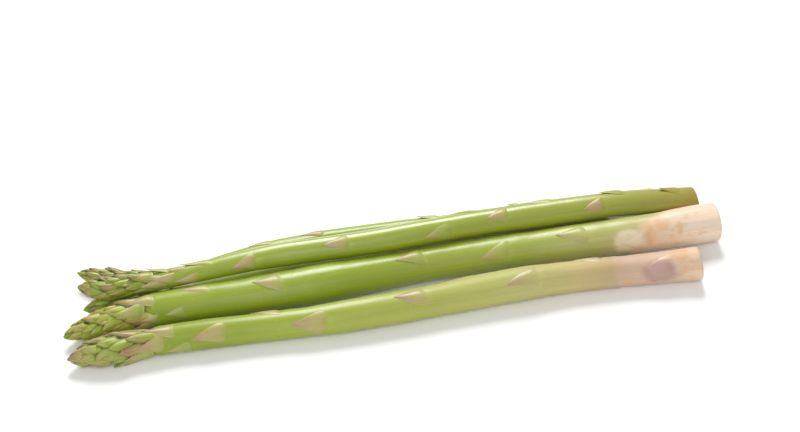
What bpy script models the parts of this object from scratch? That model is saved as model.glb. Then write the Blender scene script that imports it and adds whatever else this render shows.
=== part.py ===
"""A loose bunch of five green asparagus spears, lying flat, with the tips at -X and the cut ends at +X.

Each spear is one solid: a round stem that narrows towards its head, scale leaves pressed on the stem, a
pointed head of overlapping scales round a slimmer core, and a cut end. Lengths below are in millimetres.
X runs along the bunch, Z is up, and the surface that the spears lie on is z = 0.
"""

import math
import random
from dataclasses import dataclass

import bmesh
import bpy
import numpy as np

MM = 0.001
# The middle of the whole bunch's box, in the coordinates of the paths below
MIDDLE = (1.2, 4.25)
# The gap that two spears keep where they lie against each other
CLEARANCE = 0.35

# Stem: the number of its sides, and the sagging of its round underside that gives it a flat to rest on
SIDES = 14
REST_SINK = 0.22
# Distance between two rings of the stem: in the head, on the stem, and just before the cut end
HEAD_RING, STEM_RING, END_RING = 2.6, 11.0, 2.0
# The radius of a spear's very tip
NOSE_TIP = 0.35
# The length of a head, and of the stretch at its tip that rises or droops
HEAD_LENGTH = 31.0
RISE_LENGTH = 16.0
# The core of a head, as a share of the head's girth, and the run in which the stem narrows to it
CORE_SHARE = 0.76
CORE_RUN = 6.0
# The rounded rim of a cut end
RIM = 0.5

# Head scales: how many, the length of the lowest and the highest, and the turn from one to the next
HEAD_SCALES = 30
LOWEST_SCALE, HIGHEST_SCALE = 13.0, 6.0
GOLDEN_TURN = 137.5
TURN_JITTER = 7.0
# Sections of a scale: place along it, width share, and height share of its outer side
HEAD_SECTIONS = ((0.0, 0.55, 0.35), (0.26, 1.0, 0.85), (0.64, 0.72, 1.0))
STEM_SECTIONS = ((0.0, 0.50, 0.30), (0.14, 0.86, 0.70), (0.38, 1.0, 0.95), (0.70, 0.64, 1.0))
APEX_HEIGHT = 0.45
# Across a scale: the places of its outer points as shares of its half width
ACROSS = (-1.0, -0.42, 0.42, 1.0)
# A stem scale: its height above the stem, and how deep its edges and its root are sunk
STEM_SCALE_HEIGHT = 0.75
EDGE_SINK = 0.3
ROOT_SINK = 1.3
WIDEST_HALF_TURN = math.radians(52)

# Scale leaves on the back of a stem: the first angle, the span that they are spread over, their size
BACK_ANGLE, BACK_SPAN = 215.0, 115.0
BACK_SCALE = (10.0, 2.9)


@dataclass(frozen=True)
class Spear:
    """The driving dimensions of one spear, in millimetres and degrees."""

    name: str
    tip: float          # X of the tip
    cut: float          # X of the middle of the cut end
    route: tuple        # (x, y) of the middle line at a few places
    height: tuple       # (x, z) of the middle line, or nothing for a spear that lies on the surface
    girth: tuple        # (x, radius) at a few places, without the taper of the head
    tip_rise: float     # how far the tip lies above or below the line of the head
    cut_slant: float    # how far the cut end's top lies behind its bottom
    first_turn: float   # the angle of the lowest head scale
    nose: float         # the length of the head's blunt taper, from its full girth to its tip
    scales: tuple       # (x of the base, angle, length, half width) of the stem scales that show


# Angles on a stem are measured from its top, 0, towards the front side at -Y, 90
SPEARS = (
    Spear(
        "spear_front", -110.6, 101.6,
        ((-110.6, -17.3), (-98, -16.2), (-84, -14.9), (-72, -14.5), (-45, -15.1), (-12, -15.2), (25, -12.7),
         (62, -11.2), (101.6, -13.7)),
        (),
        ((-110.6, 5.1), (-95, 5.0), (-84, 4.75), (-38, 4.8), (-12, 5.3), (18, 5.35), (40, 5.75), (66, 5.25),
         (84, 5.3), (101.6, 6.1)),
        -1.0, 0.4, 20.0, 18.0,
        ((-74.8, 9, 10.7, 2.8), (-79.0, 63, 9.5, 3.0), (-70.0, 102, 9.0, 2.8), (-58.3, 49, 12.6, 3.8),
         (-39.9, -38, 10.5, 3.0), (-25.4, 60, 12.8, 4.1), (7.6, 19, 11.0, 3.6), (46.3, 27, 12.2, 3.9),
         (91.9, 52, 11.5, 4.2)),
    ),
    Spear(
        "spear_middle", -111.0, 113.2,
        ((-111.0, -6.6), (-98.5, -3.3), (-88, -1.6), (-65, -0.8), (-40, -0.5), (-15, 1.3), (5, 3.4), (26, 4.6),
         (52, 4.9), (80, 4.5), (104, 4.9), (113.2, 5.3)),
        (),
        ((-111, 4.7), (-98, 4.75), (-92, 5.2), (-86, 5.6), (-75, 5.8), (-60, 6.0), (-45, 6.3), (-30, 6.5),
         (-16, 6.3), (-6, 5.9), (5, 5.75), (22, 5.6), (60, 5.9), (92, 6.3), (104, 6.7), (113.2, 6.5)),
        -0.4, 0.3, 75.0, 21.0,
        ((-79.9, 2, 9.0, 2.9), (-69.6, 70, 8.0, 2.8), (-61.3, -7, 10.4, 2.8), (-37.6, 14, 10.2, 3.6),
         (10.7, 11, 10.2, 3.2), (39.5, 47, 10.3, 3.7), (48.8, -24, 9.3, 3.0), (67.4, 24, 11.5, 3.5),
         (89.0, 76, 11.5, 4.2)),
    ),
    Spear(
        "spear_top", -104.4, 109.3,
        ((-104.4, 10.0), (-97, 6.9), (-88, 6.8), (-76, 6.9), (-60, 7.6), (-45, 9.2), (-25, 9.9), (-5, 10.4),
         (25, 12.7), (60, 13.9), (82, 14.6), (96, 15.8), (109.3, 17.2)),
        ((-104.4, 10.3), (-97, 10.7), (-88, 11.1), (-76, 11.4), (-60, 12.3), (-45, 12.8), (-25, 12.9),
         (-5, 12.9), (25, 12.7), (60, 12.3), (82, 11.5), (96, 9.2), (109.3, 6.9)),
        ((-104.4, 4.0), (-94, 3.9), (-86, 3.3), (-76, 3.15), (-64, 3.1), (-46, 3.7), (-28, 4.1), (0, 4.2),
         (25, 4.4), (60, 4.5), (109.3, 4.5)),
        0.0, 1.0, 130.0, 13.0,
        ((-75.9, 73, 8.5, 2.2), (-74.0, -36, 8.0, 2.0), (-58.7, -30, 11.5, 2.4), (-45.3, 56, 9.0, 2.7),
         (-13.5, 30, 9.4, 2.7), (21.0, 62, 9.8, 3.0), (41.3, 22, 8.0, 2.6), (74.9, 41, 8.0, 2.6),
         (82.7, -33, 9.0, 2.7), (103.0, -15, 8.6, 2.7)),
    ),
    Spear(
        "spear_back", -104.0, 97.0,
        ((-104.0, 22.6), (-96.6, 20.0), (-87, 17.4), (-77, 15.9), (-67, 16.7), (-53, 20.3), (-40, 22.9),
         (-25, 24.5), (-5, 25.3), (20, 24.8), (40, 24.0), (62, 24.2), (97, 25.4)),
        (),
        ((-104, 3.5), (-92, 3.4), (-80, 3.1), (-66, 3.1), (-50, 3.3), (-20, 3.45), (97, 3.5)),
        2.0, 0.3, 200.0, 13.0,
        ((-62.0, -40, 8.4, 2.4), (-37.0, -36, 8.4, 2.4), (-18.8, -22, 8.4, 2.5), (21.1, -34, 8.4, 2.5),
         (56.0, -20, 9.0, 2.6), (84.0, -44, 9.5, 2.8)),
    ),
    Spear(
        "spear_inner", -103.5, 78.0,
        ((-103.5, 4.8), (-98, 5.9), (-91, 8.0), (-80, 8.8), (-68, 9.1), (-47, 11.0), (-30, 11.6), (-5, 12.9),
         (25, 14.9), (55, 15.7), (78, 16.7)),
        (),
        ((-103.5, 3.5), (-94, 3.35), (-84, 3.1), (-66, 3.2), (-35, 3.55), (78, 3.55)),
        1.1, 0.2, 310.0, 12.0,
        ((-66.0, 20, 8.6, 2.5), (-44.0, -60, 8.6, 2.5), (62.0, -30, 8.6, 2.5)),
    ),
)


def smooth_through(points, places):
    """The natural cubic curve through a few (place, value) points, read at many places."""
    knots, values = np.array(points, float).T
    steps = np.diff(knots)
    count = len(knots)
    matrix = np.eye(count)
    right = np.zeros(count)
    for i in range(1, count - 1):
        matrix[i, i - 1:i + 2] = steps[i - 1], 2 * (steps[i - 1] + steps[i]), steps[i]
        right[i] = 6 * ((values[i + 1] - values[i]) / steps[i] - (values[i] - values[i - 1]) / steps[i - 1])
    bend = np.linalg.solve(matrix, right)
    places = np.clip(np.asarray(places, float), knots[0], knots[-1])
    i = np.clip(np.searchsorted(knots, places) - 1, 0, count - 2)
    before = (knots[i + 1] - places) / steps[i]
    after = 1 - before
    curve = (before ** 3 - before) * bend[i] + (after ** 3 - after) * bend[i + 1]
    return before * values[i] + after * values[i + 1] + curve * steps[i] ** 2 / 6


def stem_girth(spear, x):
    """The radius at x, without the taper of the head."""
    return np.interp(x, *np.array(spear.girth, float).T)


def girth(spear, x):
    """The outer radius at x: the stem's, narrowed to the tip by the blunt nose of the head."""
    along = np.clip((np.asarray(x, float) - spear.tip) / spear.nose, 0, 1)
    return np.maximum(stem_girth(spear, x) * (1 - (1 - along) ** 2) ** 0.7, NOSE_TIP)


def core_girth(spear, x):
    """The radius of the stem, which narrows to a slim core inside the head."""
    into_head = np.clip((spear.tip + HEAD_LENGTH - np.asarray(x, float)) / CORE_RUN, 0, 1)
    return girth(spear, x) * (1 - (1 - CORE_SHARE) * into_head)


def middle_line(spear, x):
    """The middle of the spear at x. One that lies on the surface is as high as its own radius."""
    x = np.asarray(x, float)
    y = smooth_through(spear.route, x)
    if spear.height:
        z = smooth_through(spear.height, x)
    else:
        to_tip = np.clip(1 - (x - spear.tip) / RISE_LENGTH, 0, 1)
        z = stem_girth(spear, x) - REST_SINK + spear.tip_rise * to_tip ** 2
    return np.stack([x, y, z], -1)


def frame_at(spear, x):
    """The middle line's point at x, with the directions across it: upwards, and towards the front."""
    step = 0.5
    point = middle_line(spear, x)
    along = middle_line(spear, x + step) - middle_line(spear, x - step)
    along[..., 0] = 2 * step
    along /= np.linalg.norm(along, axis=-1, keepdims=True)
    up = np.array([0.0, 0.0, 1.0]) - along * along[..., 2:]
    up /= np.linalg.norm(up, axis=-1, keepdims=True)
    return point, up, np.cross(along, up)


def on_spear(spear, x, turn, radius):
    """The point at x, at an angle round the spear and a distance from its middle line."""
    point, up, front = frame_at(spear, np.asarray(x, float))
    turn, radius = np.asarray(turn, float)[..., None], np.asarray(radius, float)[..., None]
    return point + radius * (up * np.cos(turn) + front * np.sin(turn))


def new_object(name, points, faces):
    """A mesh object of these points, in millimetres of the bunch, with its faces turned outwards."""
    mesh = bpy.data.meshes.new(name)
    shift = np.array([MIDDLE[0], MIDDLE[1], 0.0])
    mesh.from_pydata([tuple(p) for p in (np.asarray(points) - shift) * MM], [], faces)
    shape = bmesh.new()
    shape.from_mesh(mesh)
    bmesh.ops.recalc_face_normals(shape, faces=shape.faces)
    shape.to_mesh(mesh)
    shape.free()
    obj = bpy.data.objects.new(name, mesh)
    bpy.context.scene.collection.objects.link(obj)
    return obj


def lofted(name, rings):
    """A closed solid through rings of equally many points, with a flat face on each end ring."""
    count, around = len(rings), len(rings[0])
    faces = [tuple(range(around)), tuple(range((count - 1) * around, count * around))]
    for ring in range(count - 1):
        for i in range(around):
            j = (i + 1) % around
            low, high = ring * around, (ring + 1) * around
            faces.append((low + i, low + j, high + j, high + i))
    return new_object(name, np.concatenate(rings), faces)


def ring_places(spear):
    """Where the stem's rings lie: close in the head, wide on the stem, close again at the cut end."""
    neck = spear.tip + HEAD_LENGTH + CORE_RUN
    end = spear.cut - 3 * END_RING
    head = np.arange(spear.tip, neck, HEAD_RING)
    stem = np.linspace(neck, end, max(2, round((end - neck) / STEM_RING)))
    return np.concatenate([head, stem, [spear.cut - RIM, spear.cut]])


def stem_solid(spear):
    """The stem from tip to cut end. The last two rings are the rounded rim, and lean as the cut does."""
    turns = np.arange(SIDES) * 2 * math.pi / SIDES
    rings = []
    for x in ring_places(spear):
        radius = core_girth(spear, x)
        at_end = max(0.0, 1 - (spear.cut - x) / (3 * END_RING))
        if x == spear.cut:
            radius -= RIM
        places = x - spear.cut_slant * at_end * np.cos(turns) * radius / stem_girth(spear, spear.cut)
        point, up, front = frame_at(spear, np.full(SIDES, x))
        ring = point + radius * (up * np.cos(turns)[:, None] + front * np.sin(turns)[:, None])
        ring[:, 0] += places - x
        rings.append(ring)
    return lofted(spear.name, rings)


def scale_solid(spear, name, base, turn, length, half_width, sections, inner, outer):
    """One pointed scale on a spear, from its base towards the tip.

    inner(x) is the radius of what it grows from and outer(x) the radius of its outer side at full height.
    Each section has four outer points, from edge to edge, and one root point sunk in the spear.
    """
    rings = []
    for along, width, height in sections:
        x = base - length * along
        ground = inner(x)
        top = ground + (outer(x) - ground) * height
        half_turn = min(half_width * width / ground, WIDEST_HALF_TURN)
        radii = [ground - EDGE_SINK, top, top, ground - EDGE_SINK, ground - ROOT_SINK]
        turns = [turn + half_turn * share for share in ACROSS] + [turn]
        rings.append(on_spear(spear, np.full(5, x), turns, np.maximum(radii, 0.1)))
    x = base - length
    top = inner(x) + (outer(x) - inner(x)) * APEX_HEIGHT
    points = np.concatenate(rings + [on_spear(spear, [x], [turn], [top])])
    last = len(points) - 1
    faces = [(0, 1, 2, 3, 4)]
    for ring in range(len(rings) - 1):
        for i in range(5):
            j = (i + 1) % 5
            faces.append((ring * 5 + i, ring * 5 + j, ring * 5 + 5 + j, ring * 5 + 5 + i))
    tip_ring = (len(rings) - 1) * 5
    faces += [(tip_ring + i, tip_ring + (i + 1) % 5, last) for i in range(5)]
    return new_object(name, points, faces)


def head_scales(spear):
    """The overlapping scales of a head, set a golden turn apart and shorter towards the tip."""
    draw = random.Random(spear.name)
    first = spear.tip + HEAD_LENGTH
    last = spear.tip + HIGHEST_SCALE
    scales = []
    for i in range(HEAD_SCALES):
        share = i / (HEAD_SCALES - 1)
        base = first + (last - first) * share ** 0.9
        length = LOWEST_SCALE + (HIGHEST_SCALE - LOWEST_SCALE) * share ** 0.8
        length *= 1 + 0.08 * draw.uniform(-1, 1)
        turn = math.radians(spear.first_turn + GOLDEN_TURN * i + TURN_JITTER * draw.uniform(-1, 1))
        half_width = 0.50 * girth(spear, base - 0.3 * length) + 0.40
        scales.append(scale_solid(
            spear, f"{spear.name}_head_{i}", base, turn, min(length, base - spear.tip), half_width,
            HEAD_SECTIONS, lambda x: core_girth(spear, x), lambda x: girth(spear, x)))
    return scales


def keeps_clear(spear, base, turn, length, half_width):
    """Whether a stem scale here stays the clearance away from every other spear."""
    x = base - length * np.array([0.0, 0.3, 0.3, 0.3, 0.65])
    half_turn = half_width / float(stem_girth(spear, base))
    turns = turn + half_turn * np.array([0.0, -0.5, 0.0, 0.5, 0.0])
    points = on_spear(spear, x, turns, girth(spear, x) + STEM_SCALE_HEIGHT)
    for other in SPEARS:
        if other is spear:
            continue
        places = np.linspace(other.tip, other.cut, 120)
        line = middle_line(other, places)
        gaps = np.linalg.norm(points[:, None] - line[None], axis=2) - girth(other, places)
        if gaps.min() < STEM_SCALE_HEIGHT + CLEARANCE:
            return False
    return True


def back_scales(spear):
    """Scale leaves on the far side of the stem, one between each two of those that show."""
    bases = sorted(scale[0] for scale in spear.scales)
    middles = [(a + b) / 2 for a, b in zip(bases, bases[1:]) if b - a > 6]
    length, half_width = BACK_SCALE
    slim = stem_girth(spear, 0) / 5
    return [(x, BACK_ANGLE + (GOLDEN_TURN * i) % BACK_SPAN, length, half_width * slim)
            for i, x in enumerate(middles)]


def stem_scales(spear):
    """The scale leaves of the stem that have room beside the other spears."""
    solids = []
    for i, (base, angle, length, half_width) in enumerate(spear.scales + tuple(back_scales(spear))):
        turn = math.radians(angle)
        if keeps_clear(spear, base, turn, length, half_width):
            solids.append(scale_solid(
                spear, f"{spear.name}_scale_{i}", base, turn, length, half_width, STEM_SECTIONS,
                lambda x: girth(spear, x), lambda x: girth(spear, x) + STEM_SCALE_HEIGHT))
    return solids


def apply_boolean(obj, operation, others):
    """Join the other solids to this one, or cut them from it, and remove them."""
    group = bpy.data.collections.new("operands")
    bpy.context.scene.collection.children.link(group)
    for other in others:
        bpy.context.scene.collection.objects.unlink(other)
        group.objects.link(other)
    boolean = obj.modifiers.new("join", "BOOLEAN")
    boolean.operation = operation
    boolean.solver = "EXACT"
    boolean.operand_type = "COLLECTION"
    boolean.collection = group
    evaluated = obj.evaluated_get(bpy.context.evaluated_depsgraph_get())
    joined = bpy.data.meshes.new_from_object(evaluated)
    obj.modifiers.clear()
    old = obj.data
    obj.data = joined
    bpy.data.meshes.remove(old)
    for other in list(group.objects):
        bpy.data.meshes.remove(other.data)
    bpy.data.collections.remove(group)


def keep_outer_shell(obj):
    """Fill the small hollows that joined scales seal off, and drop loose scraps: only the outer shell stays."""
    shape = bmesh.new()
    shape.from_mesh(obj.data)
    unseen = set(shape.verts)
    shells = []
    while unseen:
        shell, edge_of_search = set(), [unseen.pop()]
        while edge_of_search:
            vert = edge_of_search.pop()
            shell.add(vert)
            near = {edge.other_vert(vert) for edge in vert.link_edges} & unseen
            unseen -= near
            edge_of_search.extend(near)
        shells.append(shell)
    shells.sort(key=len)
    inner = [vert for shell in shells[:-1] for vert in shell]
    bmesh.ops.delete(shape, geom=inner, context="VERTS")
    shape.to_mesh(obj.data)
    shape.free()


def surface_below():
    """A block that fills the space below the surface that the spears lie on."""
    corners = [(x, y, z) for z in (-20, 0) for x, y in ((-150, -60), (150, -60), (150, 60), (-150, 60))]
    faces = [(0, 1, 2, 3), (4, 5, 6, 7), (0, 1, 5, 4), (1, 2, 6, 5), (2, 3, 7, 6), (3, 0, 4, 7)]
    return new_object("below", corners, faces)


def spear_material(name, colour):
    """Matt, slightly waxy vegetable skin."""
    material = bpy.data.materials.new(name)
    material.use_nodes = True
    shader = material.node_tree.nodes["Principled BSDF"]
    shader.inputs["Base Color"].default_value = (*colour, 1.0)
    shader.inputs["Roughness"].default_value = 0.42
    shader.inputs["Metallic"].default_value = 0.0
    return material


# The green of each spear, as linear red, green and blue
COLOURS = {
    "spear_front": (0.36, 0.43, 0.09),
    "spear_middle": (0.31, 0.38, 0.06),
    "spear_top": (0.29, 0.38, 0.06),
    "spear_back": (0.30, 0.38, 0.05),
    "spear_inner": (0.27, 0.36, 0.05),
}


def build():
    """Make the five spears, each joined into one solid and trimmed flat where it lies on the surface."""
    for obj in list(bpy.data.objects):
        bpy.data.objects.remove(obj)
    for spear in SPEARS:
        obj = stem_solid(spear)
        apply_boolean(obj, "UNION", stem_scales(spear) + head_scales(spear))
        if not spear.height:
            apply_boolean(obj, "DIFFERENCE", [surface_below()])
        keep_outer_shell(obj)
        obj.data.materials.clear()
        obj.data.materials.append(spear_material(f"{spear.name}_skin", COLOURS[spear.name]))
        obj.data.shade_smooth()
        obj.data.set_sharp_from_angle(angle=math.radians(32))


build()
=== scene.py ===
"""The looks of a loose bunch of five green asparagus spears, lying flat with their tips at -X.

Each spear is three finished pieces round its solid: the stem with its cut end, the scale leaves pressed on
the stem, and the overlapping scales of the head. Lengths are in millimetres until a mesh is made.
"""

import logging
import math
import random
from dataclasses import dataclass, field, replace
from enum import Enum

import bmesh
import bpy
import numpy as np
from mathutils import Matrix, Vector


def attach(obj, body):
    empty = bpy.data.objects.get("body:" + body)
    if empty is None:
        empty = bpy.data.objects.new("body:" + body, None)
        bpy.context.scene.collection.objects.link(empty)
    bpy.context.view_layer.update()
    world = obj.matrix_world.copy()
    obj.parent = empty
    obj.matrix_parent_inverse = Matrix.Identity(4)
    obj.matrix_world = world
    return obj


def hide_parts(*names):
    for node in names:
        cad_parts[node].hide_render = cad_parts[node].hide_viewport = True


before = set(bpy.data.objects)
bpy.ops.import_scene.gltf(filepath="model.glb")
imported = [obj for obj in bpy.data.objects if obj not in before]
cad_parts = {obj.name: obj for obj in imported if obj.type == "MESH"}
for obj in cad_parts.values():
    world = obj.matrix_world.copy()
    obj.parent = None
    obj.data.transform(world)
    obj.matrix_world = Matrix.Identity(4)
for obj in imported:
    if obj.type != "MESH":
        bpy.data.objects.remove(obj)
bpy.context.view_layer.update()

Array = np.ndarray
Points = tuple[tuple[float, float], ...]
Colour = tuple[float, float, float]

MM = 0.001
BODY = "root"
# The middle of the whole bunch's box, in the coordinates of the spears' routes
MIDDLE = (1.2, 4.25)
GOLDEN_TURN = 137.5
# Points nearer than the first length are joined, and edges shorter than the second go, in metres
JOIN, SHORTEST_EDGE = 2e-6, 1e-7

log = logging.getLogger("asparagus")


def srgb(red: int, green: int, blue: int) -> Colour:
    """Linear colour from display values of 0 to 255."""
    shares = (red / 255, green / 255, blue / 255)
    return tuple(c / 12.92 if c <= 0.04045 else ((c + 0.055) / 1.055) ** 2.4 for c in shares)


def ease(low: float, high: float, value: Array) -> Array:
    """A smooth step: 0 below low, 1 above high, and 3t^2 - 2t^3 between them."""
    t = np.clip((value - low) / (high - low), 0.0, 1.0)
    return t * t * (3 - 2 * t)


def turn_from(turn: Array, angle: float) -> Array:
    """How far turns in radians lie from an angle in degrees, at most half a turn either way."""
    return np.angle(np.exp(1j * (turn - math.radians(angle))))


def smooth_through(points: Points, places: Array) -> Array:
    """The natural cubic curve through a few (place, value) points, read at many places.

    Args:
        points: The (place, value) pairs, in order of place.
        places: Where the curve is read; outside the points it keeps their end values.

    Returns:
        The curve's values, in the shape of places.
    """
    knots, values = np.array(points, float).T
    steps = np.diff(knots)
    slopes = np.diff(values) / steps
    inner = np.diag(2 * (steps[:-1] + steps[1:])) + np.diag(steps[1:-1], 1) + np.diag(steps[1:-1], -1)
    bend = np.concatenate([[0.0], np.linalg.solve(inner, 6 * np.diff(slopes)), [0.0]])
    places = np.clip(np.asarray(places, float), knots[0], knots[-1])
    i = np.clip(np.searchsorted(knots, places) - 1, 0, len(steps) - 1)
    before = (knots[i + 1] - places) / steps[i]
    after = 1 - before
    curve = (before ** 3 - before) * bend[i] + (after ** 3 - after) * bend[i + 1]
    return before * values[i] + after * values[i + 1] + curve * steps[i] ** 2 / 6


@dataclass
class Sheet:
    """A grid of points with some values at each, which becomes one skin of quads.

    Attributes:
        points: Rows by columns by three.
        values: Named numbers at each point, rows by columns.
        round: Whether the last column joins the first.
    """

    points: Array
    values: dict[str, Array] = field(default_factory=dict)
    round: bool = False

    def quads(self, first: int) -> Array:
        """The corner numbers of the quads between rows and columns, counted from first."""
        rows, columns = self.points.shape[:2]
        number = first + np.arange(rows * columns).reshape(rows, columns)
        if self.round:
            number = np.concatenate([number, number[:, :1]], axis=1)
        corners = (number[:-1, :-1], number[:-1, 1:], number[1:, 1:], number[1:, :-1])
        return np.stack([corner.ravel() for corner in corners], axis=1)


def linked(name: str, data: bpy.types.ID) -> bpy.types.Object:
    """A new object of this data, in the scene."""
    obj = bpy.data.objects.new(name, data)
    bpy.context.scene.collection.objects.link(obj)
    return obj


def piece_of(name: str, sheets: list[Sheet], sharp: float = 180.0) -> bpy.types.Object:
    """One object of closed skins: the sheets' points are joined where they meet, and faces turned outwards.

    Args:
        name: The object's name.
        sheets: The sheets, in millimetres of the bunch.
        sharp: The angle in degrees from which an edge is shaded sharp.

    Returns:
        The new object, at the origin, in metres.
    """
    points = np.concatenate([sheet.points.reshape(-1, 3) for sheet in sheets])
    points = (points - np.array([*MIDDLE, 0.0])) * MM
    firsts = np.cumsum([0] + [sheet.points.shape[0] * sheet.points.shape[1] for sheet in sheets[:-1]])
    quads = np.concatenate([sheet.quads(first) for sheet, first in zip(sheets, firsts)])
    mesh = bpy.data.meshes.new(name)
    mesh.from_pydata(points, [], quads)
    for key in sheets[0].values:
        numbers = np.concatenate([sheet.values[key].ravel() for sheet in sheets]).astype(np.float32)
        mesh.attributes.new(key, "FLOAT", "POINT").data.foreach_set("value", numbers)
    shape = bmesh.new()
    shape.from_mesh(mesh)
    bmesh.ops.remove_doubles(shape, verts=shape.verts, dist=JOIN)
    bmesh.ops.dissolve_degenerate(shape, edges=shape.edges, dist=SHORTEST_EDGE)
    bmesh.ops.recalc_face_normals(shape, faces=shape.faces)
    shape.to_mesh(mesh)
    shape.free()
    mesh.shade_smooth()
    if sharp < 180:
        mesh.set_sharp_from_angle(angle=math.radians(sharp))
    return linked(name, mesh)


class Value:
    """A shader socket that takes part in sums, differences and products."""

    def __init__(self, graph: "Graph", socket: bpy.types.NodeSocket) -> None:
        """Keep the socket with the graph that its Math nodes go into."""
        self.graph = graph
        self.socket = socket

    def __add__(self, other: "Value | float") -> "Value":
        """self + other."""
        return self.graph.math("ADD", self, other)

    def __radd__(self, other: float) -> "Value":
        """other + self."""
        return self.graph.math("ADD", other, self)

    def __sub__(self, other: "Value | float") -> "Value":
        """self - other."""
        return self.graph.math("SUBTRACT", self, other)

    def __rsub__(self, other: float) -> "Value":
        """other - self."""
        return self.graph.math("SUBTRACT", other, self)

    def __mul__(self, other: "Value | float") -> "Value":
        """self * other."""
        return self.graph.math("MULTIPLY", self, other)

    def __rmul__(self, other: float) -> "Value":
        """other * self."""
        return self.graph.math("MULTIPLY", other, self)

    def step(self, low: float, high: float) -> "Value":
        """A smooth step of this value between two limits, which may fall instead of rise."""
        return self.graph.make(
            "ShaderNodeMapRange", {"interpolation_type": "SMOOTHSTEP"},
            Value=self, **{"From Min": low, "From Max": high})


class Graph:
    """The nodes of one material, ending in a Principled shader."""

    def __init__(self, name: str) -> None:
        """Start a material with only its shader and its output."""
        self.material = bpy.data.materials.new(name)
        self.material.use_nodes = True
        self.tree = self.material.node_tree
        self.shader = self.tree.nodes["Principled BSDF"]

    def make(self, kind: str, settings: dict | None = None, output: str | None = None, **inputs) -> Value:
        """Any node, with its settings made first and then the values or links of its sockets.

        Args:
            kind: The node's type.
            settings: Its properties; "stops" holds a colour ramp's (place, colour) pairs.
            output: The name or identifier of the output that is wanted, or nothing for the first.
            **inputs: Socket names or identifiers, with a number, a colour, a vector or a Value each.

        Returns:
            The wanted output.
        """
        node = self.tree.nodes.new(kind)
        settings = dict(settings or {})
        stops = settings.pop("stops", None)
        for key, setting in settings.items():
            setattr(node, key, setting)
        if stops:
            elements = node.color_ramp.elements
            while len(elements) < len(stops):
                elements.new(0.5)
            for element, (place, colour) in zip(elements, stops):
                element.position = place
                element.color = (*colour, 1.0)
        for name, given in inputs.items():
            self.feed(self.socket_of(node.inputs, name), given)
        return Value(self, node.outputs[0] if output is None else self.socket_of(node.outputs, output))

    @staticmethod
    def socket_of(sockets: bpy.types.bpy_prop_collection, name: str) -> bpy.types.NodeSocket:
        """The socket with this identifier, or else the one in use with this name."""
        for socket in sockets:
            if socket.identifier == name:
                return socket
        return next(socket for socket in sockets if socket.name == name and socket.enabled)

    def feed(self, socket: bpy.types.NodeSocket, given: "Value | float | tuple") -> None:
        """Link a Value to a socket, or set the socket's own number, colour or vector."""
        if isinstance(given, Value):
            self.tree.links.new(given.socket, socket)
        elif isinstance(given, tuple) and socket.type == "RGBA":
            socket.default_value = (*given, 1.0)
        else:
            socket.default_value = given

    def math(self, operation: str, first: "Value | float", second: "Value | float") -> Value:
        """One Math node on two numbers."""
        return self.make("ShaderNodeMath", {"operation": operation}, Value=first, Value_001=second)

    def mix(self, factor: "Value | float", first: "Value | Colour", second: "Value | Colour",
            blend: str = "MIX") -> Value:
        """One colour blended into another by a factor of 0 to 1."""
        return self.make(
            "ShaderNodeMix", {"data_type": "RGBA", "blend_type": blend, "clamp_factor": True}, "Result_Color",
            Factor_Float=factor, A_Color=first, B_Color=second)

    def tint(self, factor: "Value | float", colour: "Value | Colour", tint: Colour) -> Value:
        """A colour blended into the same colour times a tint."""
        return self.mix(factor, colour, self.mix(1.0, colour, tint, "MULTIPLY"))

    def stored(self, name: str) -> Value:
        """The number that the mesh stores under a name at each point."""
        return self.make("ShaderNodeAttribute", {"attribute_name": name}, "Fac")

    def place(self, along: float, across: float) -> Value:
        """A position on the spear: its stored place along the stem and across it, each times a factor."""
        return self.make(
            "ShaderNodeCombineXYZ", X=self.stored("along") * along, Y=self.stored("side") * across,
            Z=self.stored("rise") * across)

    def noise(self, place: Value, scale: float, detail: float = 2.0, rough: float = 0.5) -> Value:
        """Smooth noise of about 0 to 1 at a place."""
        return self.make("ShaderNodeTexNoise", {}, "Fac", Vector=place, Scale=scale, Detail=detail,
                         Roughness=rough)

    def grain(self, along: float, across: float, detail: float, rough: float = 0.5) -> Value:
        """A noise that follows the stem and changes at its own rate along it and across it."""
        return self.noise(self.place(along, across), 1.0, detail, rough)

    def bump(self, height: Value, strength: float) -> None:
        """Let a height in millimetres stand up from the surface."""
        normal = self.make("ShaderNodeBump", {}, "Normal", Height=height, Strength=strength, Distance=MM)
        self.feed(self.shader.inputs["Normal"], normal)

    def finish(self, base: Value, roughness: "Value | float", fixed: dict[str, object]) -> bpy.types.Material:
        """Feed the shader: what varies is linked, and what is the same all over is set on its socket."""
        self.feed(self.shader.inputs["Base Color"], base)
        self.feed(self.shader.inputs["Roughness"], roughness)
        for name, given in fixed.items():
            self.shader.inputs[name].default_value = given
        return self.material


# Light goes a little way into the flesh under the skin, further in yellow and green than in blue
FLESHY = {
    "Subsurface Weight": 0.10,
    "Subsurface Radius": (0.9, 1.0, 0.35),
    "Subsurface Scale": 0.0018,
    "Specular IOR Level": 0.6,
    "IOR": 1.42,
    "Sheen Weight": 0.14,
    "Sheen Roughness": 0.25,
    "Coat Weight": 0.42,
    "Coat Roughness": 0.29,
}


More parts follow.
